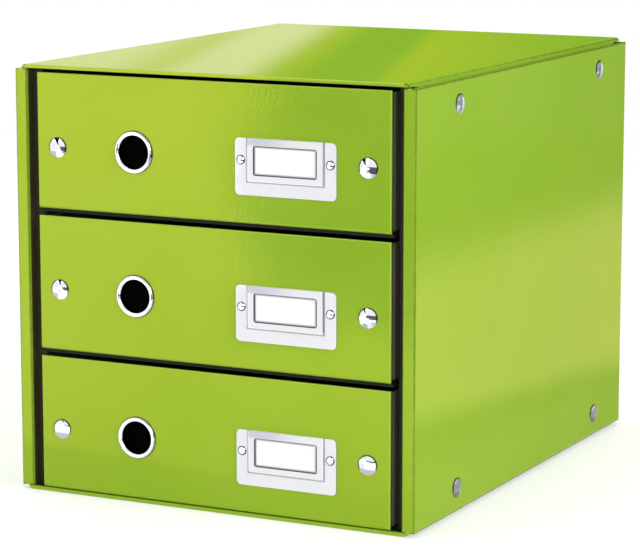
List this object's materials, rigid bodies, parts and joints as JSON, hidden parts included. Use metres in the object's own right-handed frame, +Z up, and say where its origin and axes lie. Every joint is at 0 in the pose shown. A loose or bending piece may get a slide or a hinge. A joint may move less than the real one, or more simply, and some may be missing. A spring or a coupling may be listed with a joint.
{
  "type": "desktop drawer unit",
  "caption": "Desk-top paper cabinet of folded laminated board with push-in drawers, finger rings, label holders and press studs.",
  "frame": {"origin": "centre of the underside of the whole part's box", "axes": "+Z up, the drawers face and open towards -Y, +X to the right as seen from the front"},
  "size_m": [0.2886, 0.3598, 0.282],
  "materials": {
    "green_board": "glossy laminate",
    "black_board": "satin laminate",
    "chrome": "polished",
    "steel": "plain",
    "label_plate": "bright satin",
    "card": "matt"
  },
  "bodies": {
    "casing": {"top_panel": "green_board", "bottom_panel": "green_board", "back_panel": "green_board", "right_side_panel": "green_board", "left_side_panel": "green_board", "right_inner_wall": "black_board", "left_inner_wall": "black_board", "upper_shelf": "black_board", "lower_shelf": "black_board", "right_stud_caps": "chrome", "left_stud_caps": "chrome", "right_stud_sockets": "steel", "left_stud_sockets": "steel", "right_stud_posts": "steel", "left_stud_posts": "steel"},
    "drawer_1": {"drawer_1_front_board": "green_board", "drawer_1_walls": "black_board", "drawer_1_base_insert": "black_board", "drawer_1_stud_caps": "chrome", "drawer_1_stud_sockets": "steel", "drawer_1_stud_posts": "steel", "drawer_1_finger_ring": "chrome", "drawer_1_ring_washer": "steel", "drawer_1_label_holder": "label_plate", "drawer_1_label_rivets": "chrome", "drawer_1_label_card": "card"},
    "drawer_2": {"drawer_2_front_board": "green_board", "drawer_2_walls": "black_board", "drawer_2_base_insert": "black_board", "drawer_2_stud_caps": "chrome", "drawer_2_stud_sockets": "steel", "drawer_2_stud_posts": "steel", "drawer_2_finger_ring": "chrome", "drawer_2_ring_washer": "steel", "drawer_2_label_holder": "label_plate", "drawer_2_label_rivets": "chrome", "drawer_2_label_card": "card"},
    "drawer_3": {"drawer_3_front_board": "green_board", "drawer_3_walls": "black_board", "drawer_3_base_insert": "black_board", "drawer_3_stud_caps": "chrome", "drawer_3_stud_sockets": "steel", "drawer_3_stud_posts": "steel", "drawer_3_finger_ring": "chrome", "drawer_3_ring_washer": "steel", "drawer_3_label_holder": "label_plate", "drawer_3_label_rivets": "chrome", "drawer_3_label_card": "card"}
  },
  "joints": [
    {"name": "drawer_1_slide", "type": "slide", "parent": "casing", "child": "drawer_1", "axis": [0, -1, 0], "range_m": [0, 0.28]},
    {"name": "drawer_2_slide", "type": "slide", "parent": "casing", "child": "drawer_2", "axis": [0, -1, 0], "range_m": [0, 0.28]},
    {"name": "drawer_3_slide", "type": "slide", "parent": "casing", "child": "drawer_3", "axis": [0, -1, 0], "range_m": [0, 0.28]}
  ]
}
